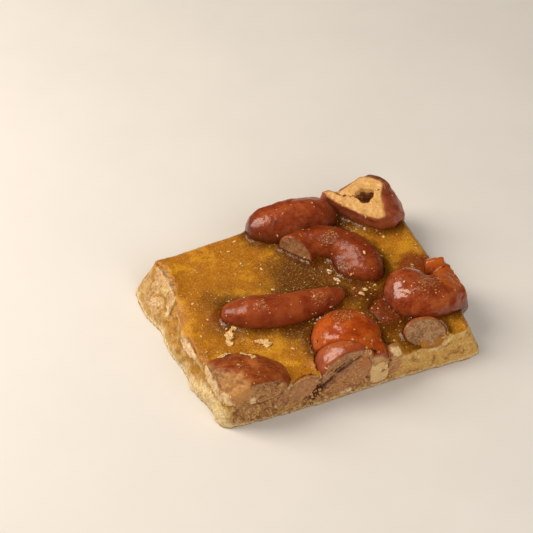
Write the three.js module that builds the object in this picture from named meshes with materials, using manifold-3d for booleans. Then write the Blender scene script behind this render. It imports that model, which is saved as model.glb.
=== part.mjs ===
// A cut piece of nut brittle: a slab of grainy caramel with whole, split and broken nuts set in it.
// Millimetres, +Z up. The origin is on the underside, under the middle of the piece.
// +X runs along the front edge and +Y to the back, so the left side is at -X.

import * as THREE from 'three';
import { mergeVertices } from 'three/addons/utils/BufferGeometryUtils.js';
import Module from 'manifold-3d';

const wasm = await Module();
wasm.setup();

// Driving dimensions of the slab
const slabLength = 57.4;
const slabDepth = 44;
const slabHeight = 7.2;
const cornerTrim = 0.035; // how much of the half length and depth a corner loses
const setGap = 0.3; // between a nut and the caramel, or the next nut
const clearOf = 60; // longer than the whole piece, for the blocks that cut it
const sideBlock = { reach: 84, below: 1, rise: 16, thickness: 30 }; // what cuts the nuts flush at a side

// Each side is a knife cut. It turns along its length, leans in as it rises, and wanders.
const sides = {
  front: { turn: -0.033, lean: 0.05, wander: 0.2, wave: 6.5 },
  back: { turn: 0, lean: 0, wander: 0.25, wave: 8 },
  left: { turn: -0.062, lean: 0.16, wander: 0.15, wave: 4 },
  right: { turn: 0, lean: -0.15, wander: 0.2, wave: 9 },
};
// Low on the left side a ledge is left standing out, where the slab broke before the knife was through,
// and the side leans in more and more towards the back.
const ledge = { height: 3.6, out: 0.5, softness: 1.1 };
const leftTwist = { perDepth: 0.04, from: -1, to: 10 };
// The front right corner leans both ways, and the top slumps at the front edge before the stub.
const corner = { from: 8, to: 20, leanBack: 0.2, leanIn: 0.16 };
const slump = { x: 16.5, halfWidth: 6, reach: 5, drop: 2.4 };
const swell = { height: 0.22, wave: 7 };

const degrees = Math.PI / 180;
const ease = (value, from, to) => THREE.MathUtils.smoothstep(value, from, to);

function wander(side, along, z) {
  return side.wander * Math.sin(along / side.wave + z / 5) + side.turn * along + side.lean * z;
}

function frontY(x, z) {
  const leaning = corner.leanBack * ease(x, corner.from, corner.to) * z;
  return -slabDepth / 2 + wander(sides.front, x, z) + leaning;
}

function backY(x, z) {
  return slabDepth / 2 + wander(sides.back, x, z);
}

function leftX(y, z) {
  const standing = ledge.out * (1 - ease(z, ledge.height - ledge.softness, ledge.height + ledge.softness));
  const turned = THREE.MathUtils.clamp(y, leftTwist.from, leftTwist.to) - leftTwist.from;
  const twist = leftTwist.perDepth * turned * z;
  return -slabLength / 2 + ledge.out + wander(sides.left, y, z) + twist - standing;
}

function rightX(y, z) {
  const leaning = corner.leanIn * ease(-y, corner.from, corner.to) * z;
  return slabLength / 2 + wander(sides.right, y, z) - leaning;
}

function topHeight(x, y) {
  const rolling = swell.height * Math.sin(x / swell.wave) * Math.cos(y / swell.wave + 0.6);
  const across = Math.max(0, 1 - ((x - slump.x) / slump.halfWidth) ** 2);
  const towardsFront = 1 - ease(y, frontY(x, 0), frontY(x, 0) + slump.reach);
  return slabHeight + rolling - slump.drop * across * towardsFront;
}

// A closed geometry as a solid that can be cut and joined.
function solidFrom(geometry) {
  const bare = geometry.clone();
  bare.deleteAttribute('normal');
  bare.deleteAttribute('uv');
  const merged = mergeVertices(bare, 1e-4);
  return new wasm.Manifold(new wasm.Mesh({
    numProp: 3,
    vertProperties: merged.attributes.position.array,
    triVerts: new Uint32Array(merged.index.array),
  }));
}

function geometryFrom(solid) {
  const { vertProperties, triVerts } = solid.getMesh();
  const geometry = new THREE.BufferGeometry();
  geometry.setAttribute('position', new THREE.BufferAttribute(new Float32Array(vertProperties), 3));
  geometry.setIndex(new THREE.BufferAttribute(new Uint32Array(triVerts), 1));
  const faceted = geometry.toNonIndexed();
  faceted.computeVertexNormals();
  return faceted;
}

// Moves every vertex of a geometry to where place(point) puts it.
function reshape(geometry, place) {
  const position = geometry.attributes.position;
  const point = new THREE.Vector3();
  for (let i = 0; i < position.count; i += 1) {
    point.fromBufferAttribute(position, i);
    place(point);
    position.setXYZ(i, point.x, point.y, point.z);
  }
  return geometry;
}

// A unit box drawn out to four sides and a top, with its upright corners taken off.
function slabBody() {
  const lengthSteps = 16;
  const depthSteps = 12;
  const heightSteps = 2;
  const nearCorner = 14; // the power that keeps the trim near the corners
  const box = new THREE.BoxGeometry(2, 2, 1, lengthSteps, depthSteps, heightSteps);
  return solidFrom(reshape(box, (point) => {
    const trimmed = 1 - cornerTrim * Math.abs(point.x * point.y) ** nearCorner;
    const u = (point.x * trimmed + 1) / 2;
    const v = (point.y * trimmed + 1) / 2;
    const roughX = THREE.MathUtils.lerp(-slabLength / 2, slabLength / 2, u);
    const roughY = THREE.MathUtils.lerp(-slabDepth / 2, slabDepth / 2, v);
    const z = (point.z + 0.5) * topHeight(roughX, roughY);
    point.x = THREE.MathUtils.lerp(leftX(roughY, z), rightX(roughY, z), u);
    point.y = THREE.MathUtils.lerp(frontY(roughX, z), backY(roughX, z), v);
    point.z = z;
  }));
}

// A kernel lies along its own X. It is an egg of the given size, narrower at one end by taper and
// squarer at its ends by blunt, and it bends towards its own +Y by bend degrees from tip to tip.
function kernel(size, grow) {
  const { long, wide, high, blunt = 2, taper = 0, bend = 0, around = 14, along = 9 } = size;
  const { at, turn = 0, pitch = 0, roll = 0 } = size;
  const radius = long / (bend * degrees);
  const egg = new THREE.SphereGeometry(1, around, along);
  egg.rotateZ(-Math.PI / 2);
  reshape(egg, (point) => {
    const reach = Math.sign(point.x) * Math.abs(point.x) ** (2 / blunt);
    const spread = Math.hypot(point.y, point.z) || 1;
    const fullness = Math.min(1, spread) ** (2 / blunt) / spread;
    const narrowing = 1 + taper * reach;
    const x = reach * (long / 2 + grow);
    const y = point.y * fullness * (wide / 2 * narrowing + grow);
    point.z *= fullness * (high / 2 * narrowing + grow);
    point.x = bend ? (radius - y) * Math.sin(x / radius) : x;
    point.y = bend ? radius - (radius - y) * Math.cos(x / radius) : y;
  });
  egg.rotateX(roll * degrees).rotateY(pitch * degrees).rotateZ(turn * degrees);
  egg.translate(...at);
  return solidFrom(egg);
}

// A broken lump: a box with its faces drawn in unevenly.
function lump({ long, wide, high, draw, at, turn = 0, pitch = 0, roll = 0 }, grow) {
  const box = new THREE.BoxGeometry(1, 1, 1, 2, 2, 2);
  const atCorner = 1.5; // what the three coordinates of a corner of the unit box add up to
  reshape(box, (point) => {
    const outermost = (Math.abs(point.x) + Math.abs(point.y) + Math.abs(point.z)) / atCorner;
    const kept = 1 - draw * outermost ** 2;
    point.set(point.x * (long + 2 * grow), point.y * (wide + 2 * grow), point.z * (high + 2 * grow));
    point.multiplyScalar(kept);
    point.x += draw * point.z;
  });
  box.rotateX(roll * degrees).rotateY(pitch * degrees).rotateZ(turn * degrees);
  box.translate(...at);
  return solidFrom(box);
}

// Everything past a flat cut through a point, on the side that the normal points to.
function beyond(point, normal, grow) {
  const facing = new THREE.Vector3(...normal).normalize();
  const block = new THREE.BoxGeometry(clearOf, clearOf, clearOf);
  block.translate(0, 0, clearOf / 2 + grow);
  block.applyQuaternion(new THREE.Quaternion().setFromUnitVectors(new THREE.Vector3(0, 0, 1), facing));
  block.translate(...point);
  return solidFrom(block);
}

// Everything outside one side of the slab, far above it as well, so that a nut can be cut flush.
function outside(name) {
  const { reach, below, rise, thickness } = sideBlock;
  const alongSteps = 16;
  const upSteps = 4;
  const block = new THREE.BoxGeometry(1, 1, 1, alongSteps, alongSteps, upSteps);
  return solidFrom(reshape(block, (point) => {
    const alongX = point.x * reach;
    const alongY = point.y * reach;
    const z = (point.z + 0.5) * rise - below;
    if (name === 'front') point.set(alongX, frontY(alongX, z) + (point.y - 0.5) * thickness, z);
    if (name === 'back') point.set(alongX, backY(alongX, z) + (point.y + 0.5) * thickness, z);
    if (name === 'left') point.set(leftX(alongY, z) + (point.x - 0.5) * thickness, alongY, z);
    if (name === 'right') point.set(rightX(alongY, z) + (point.x + 0.5) * thickness, alongY, z);
  }));
}

const finishes = {
  caramel: { color: 0xb27d18, roughness: 0.38 },
  skin: { color: 0x7d2d10, roughness: 0.22 },
  brightSkin: { color: 0xa2440f, roughness: 0.2 },
  cream: { color: 0xdfbc7c, roughness: 0.75 },
  tan: { color: 0xa37a4b, roughness: 0.8 },
};

// The nuts, in the order that they were pressed in: a later one gives way to those before it.
// Each has its shape, the sides of the slab that cut it, and the finish that shows most.
const nuts = {};

nuts.hazelnut = {
  finish: 'skin',
  flush: ['back'],
  shape: (grow) => kernel({
    long: 19, wide: 12.8, high: 11.8, taper: 0.4, at: [20.2, 17.4, 8.6], turn: -26, pitch: 9,
    around: 18, along: 11,
  }, grow).subtract(beyond([20.5, 10.3, 10.5], [-0.183, -0.2035, 1], grow)),
};

nuts.cashewBack = {
  finish: 'skin',
  flush: ['back'],
  shape: (grow) => kernel({
    long: 19.4, wide: 11, high: 10, blunt: 2.3, bend: 25, at: [5, 19, 8.2], turn: -8,
  }, grow),
};

nuts.cashewHook = {
  finish: 'skin',
  flush: [],
  shape: (grow) => kernel({
    long: 24.7, wide: 8.4, high: 8.2, blunt: 2.9, bend: 135, at: [11.6, 8.9, 7.4], turn: 129,
    along: 16,
  }, grow).add(kernel({
    long: 7.4, wide: 5, high: 5.6, at: [9.7, 1.2, 7], turn: -62, around: 12, along: 8,
  }, grow)).subtract(beyond([1.8, 11, 7.3], [-0.97, -0.22, 0.36], grow)),
};

nuts.cashewLong = {
  finish: 'skin',
  flush: [],
  shape: (grow) => kernel({
    long: 25.8, wide: 7.9, high: 7.4, blunt: 2.5, taper: -0.16, bend: 43, at: [-6, -3, 7.5], turn: -10,
    along: 14,
  }, grow),
};

nuts.splitLower = {
  finish: 'tan',
  flush: ['front'],
  shape: (grow) => kernel({
    long: 12.2, wide: 10, high: 9.2, at: [-1.4, -19.6, 5.1], turn: -8, pitch: -24,
  }, grow),
};

nuts.splitUpper = {
  finish: 'skin',
  flush: ['front'],
  shape: (grow) => kernel({
    long: 13, wide: 9.4, high: 9.6, at: [-1, -19.8, 6.9], turn: -14, pitch: -18,
  }, grow),
};

nuts.roundNut = {
  finish: 'brightSkin',
  flush: ['front'],
  shape: (grow) => kernel({
    long: 15.4, wide: 14.8, high: 11.8, at: [2, -14.9, 6.9], turn: -20, around: 18, along: 11,
  }, grow),
};

nuts.cashewRight = {
  finish: 'skin',
  flush: [],
  shape: (grow) => kernel({
    long: 21, wide: 10, high: 9.8, blunt: 2.4, taper: -0.24, bend: 215, at: [23.7, -11.7, 7.6], turn: 14,
    along: 16,
  }, grow).subtract(beyond([28.5, -9, 8], [1, 0.03, 0.05], grow)),
};

nuts.stub = {
  finish: 'tan',
  flush: ['front'],
  shape: (grow) => kernel({
    long: 8.6, wide: 8.4, high: 8.6, at: [17.2, -18.2, 5.8],
  }, grow).subtract(beyond([16.9, -18.7, 7.4], [-0.2, -0.62, 0.76], grow)),
};

nuts.cashewCorner = {
  finish: 'skin',
  flush: ['front', 'left'],
  shape: (grow) => kernel({
    long: 18.6, wide: 12.8, high: 7.8, at: [-21.3, -16.7, 7.9], turn: -20,
  }, grow).subtract(beyond([-26, -20.5, 6.2], [-0.76, -0.62, 1], grow)),
};

nuts.frontSunken = {
  finish: 'tan',
  flush: ['front'],
  shape: (grow) => kernel({
    long: 9.8, wide: 5, high: 5, at: [-11.6, -21.6, 5.1], pitch: -24, around: 12, along: 8,
  }, grow),
};

nuts.creamLump = {
  finish: 'cream',
  flush: ['front'],
  shape: (grow) => lump({
    long: 4, wide: 4.6, high: 5.8, draw: 0.14, at: [5.6, -20.8, 3.5], pitch: 6, turn: 4,
  }, grow),
};

nuts.chip = {
  finish: 'tan',
  flush: ['front'],
  shape: (grow) => lump({
    long: 2.7, wide: 3.8, high: 7.2, draw: 0.12, at: [8.9, -20.5, 4.9], pitch: 4,
  }, grow),
};

nuts.leftSliver = {
  finish: 'cream',
  flush: ['left'],
  shape: (grow) => kernel({
    long: 8.4, wide: 5, high: 2.8, at: [-26.8, -3, 6.2], turn: 90, pitch: 16, around: 12, along: 8,
  }, grow),
};

nuts.leftBack = {
  finish: 'cream',
  flush: ['left'],
  shape: (grow) => kernel({
    long: 11, wide: 9, high: 7.6, at: [-26.4, 13.6, 5], turn: 84, along: 8,
  }, grow),
};

nuts.sunken = {
  finish: 'skin',
  flush: [],
  shape: (grow) => kernel({
    long: 11.4, wide: 7, high: 6.2, at: [10.6, -10.4, 5.1], turn: 100, around: 12, along: 8,
  }, grow),
};

// The largest of the bodies that a cut leaves: the rest are crumbs.
function largest(solid) {
  return solid.decompose().reduce((a, b) => (a.volume() > b.volume() ? a : b));
}

function finishedMesh(name, solid, finish) {
  const { color, roughness } = finishes[finish];
  const material = new THREE.MeshStandardMaterial({ color, roughness, metalness: 0 });
  const mesh = new THREE.Mesh(geometryFrom(solid), material);
  mesh.name = name;
  return mesh;
}

function buildBrittle() {
  const brittle = new THREE.Group();
  let caramel = slabBody();
  const pockets = [];
  for (const [name, { shape, flush, finish }] of Object.entries(nuts)) {
    let nut = shape(0);
    for (const pocket of pockets) nut = nut.subtract(pocket);
    for (const side of flush) nut = nut.subtract(outside(side));
    const pocket = shape(setGap);
    pockets.push(pocket);
    caramel = caramel.subtract(pocket);
    brittle.add(finishedMesh(name, largest(nut), finish));
  }
  brittle.add(finishedMesh('caramel', largest(caramel), 'caramel'));
  return brittle;
}

export default buildBrittle();
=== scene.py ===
import math
import random

import bpy
import numpy as np
from mathutils import Matrix, Vector, noise
from mathutils.bvhtree import BVHTree


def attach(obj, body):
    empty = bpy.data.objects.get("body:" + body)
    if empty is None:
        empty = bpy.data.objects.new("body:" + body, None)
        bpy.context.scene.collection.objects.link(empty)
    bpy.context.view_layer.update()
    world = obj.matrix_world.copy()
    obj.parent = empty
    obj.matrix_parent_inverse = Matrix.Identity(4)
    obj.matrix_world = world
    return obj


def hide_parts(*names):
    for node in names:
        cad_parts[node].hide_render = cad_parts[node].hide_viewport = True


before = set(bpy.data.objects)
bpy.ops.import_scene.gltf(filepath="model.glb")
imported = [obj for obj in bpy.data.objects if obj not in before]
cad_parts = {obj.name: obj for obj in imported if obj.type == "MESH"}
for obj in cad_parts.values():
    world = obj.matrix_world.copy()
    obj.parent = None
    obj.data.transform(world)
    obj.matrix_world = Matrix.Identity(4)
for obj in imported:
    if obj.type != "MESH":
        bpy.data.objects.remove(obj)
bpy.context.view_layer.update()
mm = 0.001
fullTurn = 6.28
dice = random.Random(12)


# working with one piece at a time

def pick(piece):
    bpy.ops.object.select_all(action="DESELECT")
    piece.select_set(True)
    bpy.context.view_layer.objects.active = piece


def keepAs(name):
    piece = bpy.context.object
    piece.name = name
    piece.data.name = name
    bpy.ops.object.transform_apply(location=True, rotation=True, scale=True)
    return piece


def applyModifier(piece, kind, **settings):
    pick(piece)
    modifier = piece.modifiers.new(kind, kind)
    for name, value in settings.items():
        setattr(modifier, name, value)
    bpy.ops.object.modifier_apply(modifier=modifier.name)


def remesh(piece, grid):
    applyModifier(piece, "REMESH", mode="VOXEL", voxel_size=grid * mm)


def soften(piece, rounds):
    applyModifier(piece, "SMOOTH", factor=0.5, iterations=rounds)


def faceOutwards():
    # turns the faces of the piece in hand outwards, and ends its editing
    bpy.ops.object.mode_set(mode="EDIT")
    bpy.ops.mesh.select_all(action="SELECT")
    bpy.ops.mesh.normals_make_consistent(inside=False)
    bpy.ops.object.mode_set(mode="OBJECT")


def joinInto(piece, others):
    pick(piece)
    for other in others:
        other.select_set(True)
    bpy.ops.object.join()


def carve(piece, tool, operation="DIFFERENCE", keep=False):
    applyModifier(piece, "BOOLEAN", operation=operation, solver="MANIFOLD", object=tool)
    if not keep:
        bpy.data.objects.remove(tool)


def cutOff(piece, point, normal, reach=None):
    # takes off everything past a flat cut, on the side that the normal points to, or only as far as it reaches
    if reach:
        facing = Vector(normal).normalized()
        bpy.ops.mesh.primitive_cube_add(size=reach * mm, location=(Vector(point) + facing * reach / 2) * mm,
                                        rotation=facing.to_track_quat("Z", "Y").to_euler())
        return carve(piece, keepAs("cutter"))
    pick(piece)
    bpy.ops.object.mode_set(mode="EDIT")
    bpy.ops.mesh.select_all(action="SELECT")
    bpy.ops.mesh.bisect(plane_co=Vector(point) * mm, plane_no=normal, use_fill=True, clear_outer=True)
    bpy.ops.object.mode_set(mode="OBJECT")


def readVertices(piece, what):
    values = np.empty(len(piece.data.vertices) * 3)
    piece.data.vertices.foreach_get(what, values)
    return values.reshape(-1, 3)


def spotsOf(piece):
    return readVertices(piece, "co") / mm


def facingOf(piece):
    return readVertices(piece, "normal")


def moveTo(piece, spots):
    piece.data.vertices.foreach_set("co", (spots * mm).ravel())
    piece.data.update()


def paint(piece, name, values):
    layer = piece.data.attributes.new(name, "FLOAT", "POINT")
    layer.data.foreach_set("value", np.asarray(values, dtype=np.float32))


def surfaceOf(*pieces):
    corners, faces = [], []
    for piece in pieces:
        start = len(corners)
        corners += [vertex.co / mm for vertex in piece.data.vertices]
        faces += [[start + corner for corner in face.vertices] for face in piece.data.polygons]
    return BVHTree.FromPolygons(corners, faces)


def measureTo(surface, spots):
    # how far each spot is from a surface, and whether it is inside it
    far, inside = np.empty(len(spots)), np.zeros(len(spots), dtype=bool)
    for index, spot in enumerate(spots):
        nearest, normal, _, far[index] = surface.find_nearest(spot)
        inside[index] = (Vector(spot) - nearest).dot(normal) < 0
    return far, inside


def ease(value, low, high):
    share = np.clip((np.asarray(value, dtype=float) - low) / (high - low), 0, 1)
    return share * share * (3 - 2 * share)


def bumps(spots, size, octaves=3, shift=0):
    return np.array([noise.fractal(Vector(spot) / size + Vector((shift, shift, shift)), 1, 2, octaves)
                     for spot in spots])


def nearLine(spots, line):
    # how far each spot is from a line of points
    best = np.full(len(spots), np.inf)
    for start, end in zip(np.array(line[:-1], dtype=float), np.array(line[1:], dtype=float)):
        along = end - start
        share = np.clip((spots - start) @ along / (along @ along), 0, 1)
        best = np.minimum(best, np.linalg.norm(spots - start - share[:, None] * along, axis=1))
    return best


def finishPiece(piece, finish, replaced=None, smooth=True):
    pick(piece)
    if smooth:
        bpy.ops.object.shade_smooth()
    else:
        bpy.ops.object.shade_flat()
    piece.data.materials.clear()
    piece.data.materials.append(finish)
    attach(piece, "root")
    if replaced:
        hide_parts(replaced)


# the slab, as the knife left it

slab = {
    "long": 57.4, "deep": 44, "high": 7.2, "grid": 0.3,
    # each cut side turns, leans and wanders a little
    "front": {"turn": -0.033, "lean": 0.05, "wander": 0.2, "wave": 6.5},
    "back": {"turn": 0, "lean": 0, "wander": 0.25, "wave": 8},
    "left": {"turn": -0.062, "lean": 0.16, "wander": 0.15, "wave": 4},
    "right": {"turn": 0, "lean": -0.15, "wander": 0.2, "wave": 9},
    # the left side has a ledge, with steps under it, and the front right corner leans back and in
    "leftTwist": 0.04, "ledge": 0.5, "ledgeFrom": 2.5, "ledgeTo": 4.7,
    "steps": 0.35, "stepWave": 1.9, "stepsFrom": 1.5, "stepsTo": 4.5,
    "cornerTrim": 0.035, "cornerLeanBack": 0.2, "cornerLeanIn": 0.16, "cornerFrom": 8, "cornerTo": 20,
    # the top swells all over and slumps in front of the stub
    "swell": 0.22, "swellWave": 7, "slump": 1.7, "slumpAt": 16, "slumpWide": 5.5, "slumpDeep": 5,
    # the top edge is worn round, but hardly at the slump
    "edgeRound": 1.1, "edgeReach": 2.2, "edgePower": 2.2, "sharpAt": 16.7,
    # caramel climbs the nuts, and gives way to them under its surface
    "meniscus": 0.85, "meniscusReach": 0.75, "sunkTop": 0.6, "sunkSide": 0.7,
    "topRoughness": 0.1, "cutRoughness": 0.4, "leftRoughness": 0.5, "crackDeep": 0.8,
    # the nuts with a wetter ring of caramel, darkened at their foot with painted shade
    "halos": ["hazelnut", "cashewBack", "cashewHook", "cashewLong", "roundNut", "cashewRight", "sunken", "stub"],
    # x, y, reach and strength of the browner places, partly painted shade between the nuts
    "shadedPools": [(1, 4.5, 14, 1.1), (15, -13.5, 5, 1), (-17.1, 5.1, 7, 0.7), (9.2, -4.3, 6, 0.9),
              (-6, -10.6, 6, 0.5), (11, -7, 6, 0.9), (-6, -8, 6.5, 0.9), (-20, -2, 5, 0.5), (9, 14, 7, 0.7),
              (15, 16, 5, 0.6)],
    # and of the redder ones
    "stains": [(-19.5, 1, 4, 0.5), (23.4, -0.6, 5.4, 0.95), (14.6, -9, 5, 0.7), (13, -14.5, 4, 0.35),
               (9, -3.6, 3, 0.5)],
}


def wander(side, along, z):
    cut = slab[side]
    return cut["wander"] * np.sin(along / cut["wave"] + z / 5) + cut["turn"] * along + cut["lean"] * z


def nearCorner(along):
    return ease(along, slab["cornerFrom"], slab["cornerTo"])


def frontY(x, z):
    return -slab["deep"] / 2 + wander("front", x, z) + slab["cornerLeanBack"] * nearCorner(x) * z


def backY(x, z):
    return slab["deep"] / 2 + wander("back", x, z)


def leftX(y, z):
    twist = slab["leftTwist"] * (np.clip(y, -1, 10) + 1) * z
    ledge = slab["ledge"] * ease(z, slab["ledgeFrom"], slab["ledgeTo"])
    steps = slab["steps"] * np.sin(y / slab["stepWave"] + 0.6) * (1 - ease(z, slab["stepsFrom"], slab["stepsTo"]))
    return -slab["long"] / 2 + wander("left", y, z) + twist + (ledge - steps)


def rightX(y, z):
    return slab["long"] / 2 + wander("right", y, z) - slab["cornerLeanIn"] * nearCorner(-y) * z


def topZ(x, y):
    rolling = slab["swell"] * np.sin(x / slab["swellWave"]) * np.cos(y / slab["swellWave"] + 0.6)
    front = frontY(x, 0)
    slumping = np.clip(1 - ((x - slab["slumpAt"]) / slab["slumpWide"]) ** 2, 0, 1)
    return slab["high"] + rolling - slab["slump"] * (slumping * (1 - ease(y, front, front + slab["slumpDeep"])))


def addBlock(name, lowest, highest, cuts):
    # a cube drawn out to the four cut sides, up to a height that may change from place to place
    bpy.ops.mesh.primitive_cube_add(size=1)
    block = keepAs(name)
    bpy.ops.object.mode_set(mode="EDIT")
    bpy.ops.mesh.subdivide(number_cuts=cuts)
    bpy.ops.object.mode_set(mode="OBJECT")
    across, deep, up = (spotsOf(block) * mm * 2).T
    trimmed = 1 - slab["cornerTrim"] * np.abs(across * deep) ** 14  # the high power leaves all but the corners
    across, deep, up = (across * trimmed + 1) / 2, (deep * trimmed + 1) / 2, (up + 1) / 2
    x, y = (across - 0.5) * slab["long"], (deep - 0.5) * slab["deep"]
    z = lowest + up * (highest(x, y) - lowest)
    moveTo(block, np.column_stack((leftX(y, z) + across * (rightX(y, z) - leftX(y, z)),
                                   frontY(x, z) + deep * (backY(x, z) - frontY(x, z)), z)))
    return block


def insideSides(spots):
    # how far inside the nearest cut side each spot is
    x, y, z = spots.T
    return np.minimum.reduce([y - frontY(x, z), backY(x, z) - y, x - leftX(y, z), rightX(y, z) - x])


# finishes: each helper adds a node to the tree that its first value comes from

def shade(red, green, blue):
    parts = [value / 255 for value in (red, green, blue)]
    return [part / 12.92 if part < 0.04045 else ((part + 0.055) / 1.055) ** 2.4 for part in parts] + [1]


def feed(socket, value):
    # an output is linked, a picked colour becomes Blender's own, and a number is set as it is
    if isinstance(value, bpy.types.NodeSocket):
        socket.id_data.links.new(value, socket)
    else:
        socket.default_value = shade(*value) if isinstance(value, tuple) else value


def readAttribute(tree, name):
    reader = tree.nodes.new("ShaderNodeAttribute")
    reader.attribute_name = name
    return reader.outputs["Fac"]


def grain(coords, size, detail=3, rough=0.55, distortion=0):
    texture = coords.id_data.nodes.new("ShaderNodeTexNoise")
    for socket, value in (("Vector", coords), ("Scale", 1 / (size * mm)), ("Detail", detail),
                          ("Roughness", rough), ("Distortion", distortion)):
        feed(texture.inputs[socket], value)
    return texture.outputs["Fac"]


def crystals(coords, size):
    texture = coords.id_data.nodes.new("ShaderNodeTexVoronoi")
    feed(texture.inputs["Vector"], coords)
    texture.inputs["Scale"].default_value = 1 / (size * mm)
    return texture.outputs["Distance"]


def between(value, low, high, start=0, end=1):
    ranger = value.id_data.nodes.new("ShaderNodeMapRange")
    ranger.interpolation_type = "SMOOTHSTEP"
    for socket, given in zip(ranger.inputs, (value, low, high, start, end)):
        feed(socket, given)
    return ranger.outputs["Result"]


def work(operation, first, second=0):
    worker = first.id_data.nodes.new("ShaderNodeMath")
    worker.operation = operation
    feed(worker.inputs[0], first)
    feed(worker.inputs[1], second)
    return worker.outputs[0]


def times(first, second):
    return work("MULTIPLY", first, second)


def plus(first, *others):
    for other in others:
        first = work("ADD", first, other)
    return first


def contour(value, width):
    # thin lines where a pattern crosses its middle value
    return between(work("ABSOLUTE", work("SUBTRACT", value, 0.5)), 0, width, 1, 0)


def mixed(share, first, second):
    mixer = share.id_data.nodes.new("ShaderNodeMix")
    mixer.data_type = "RGBA"
    for socket, value in (("Factor", share), (6, first), (7, second)):  # 6 and 7 are the two colours
        feed(mixer.inputs[socket], value)
    return mixer.outputs[2]


def layered(colour, *layers):
    # each layer is its share and its colour, and lies over the ones before it
    for share, over in layers:
        colour = mixed(share, colour, over)
    return colour


def bump(height, strength, distance, normal=None):
    bumper = height.id_data.nodes.new("ShaderNodeBump")
    bumper.inputs["Strength"].default_value = strength
    bumper.inputs["Distance"].default_value = distance * mm
    feed(bumper.inputs["Height"], height)
    if normal:
        feed(bumper.inputs["Normal"], normal)
    return bumper.outputs["Normal"]


def turnsOf(nut):
    return [math.radians(nut[turn]) for turn in ("roll", "pitch", "turn")]


def objectCoords(tree, nut=None):
    coords = tree.nodes.new("ShaderNodeTexCoord").outputs["Object"]
    if not nut:
        return coords
    # turned to lie along the nut, and drawn out along it
    mapping = tree.nodes.new("ShaderNodeMapping")
    mapping.vector_type = "TEXTURE"
    mapping.inputs["Location"].default_value = Vector(nut["at"]) * mm
    mapping.inputs["Rotation"].default_value = turnsOf(nut)
    mapping.inputs["Scale"].default_value = (6, 1, 1)
    feed(mapping.inputs["Vector"], coords)
    return mapping.outputs["Vector"]


def newFinish(name, **fixed):
    finish = bpy.data.materials.new(name)
    finish.use_nodes = True
    shader = finish.node_tree.nodes["Principled BSDF"]
    for socket, value in fixed.items():
        shader.inputs[socket.replace("_", " ")].default_value = value
    return finish, finish.node_tree, shader


# nut skin over nut flesh, painted on each nut: "depth" is how deep a spot lies under the skin, "dark" is painted
# shade in a crack or deep in a hollow, or dark bark, and "amber", "cream" and "sugar" are its patches

skinLook = {
    "dark": (104, 38, 14), "mid": (138, 56, 21), "light": (156, 74, 32),
    # the film colour lies over the skin's foot: a caramel film and painted shade together
    "filmAndShade": (90, 36, 12), "filmAndShadeHeight": 3, "filmAndShadeUnder": 1.4, "dust": (204, 152, 96), "amber": (178, 88, 26),
    "cream": (228, 196, 146),
}
fleshLook = {
    # the crack colour is painted shade in cracks and down a hollow, over the hollow's brown lining
    "pale": (214, 166, 108), "tan": (176, 122, 72), "brown": (118, 70, 40), "crack": (58, 28, 16),
    "edge": (140, 78, 38),
}


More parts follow.
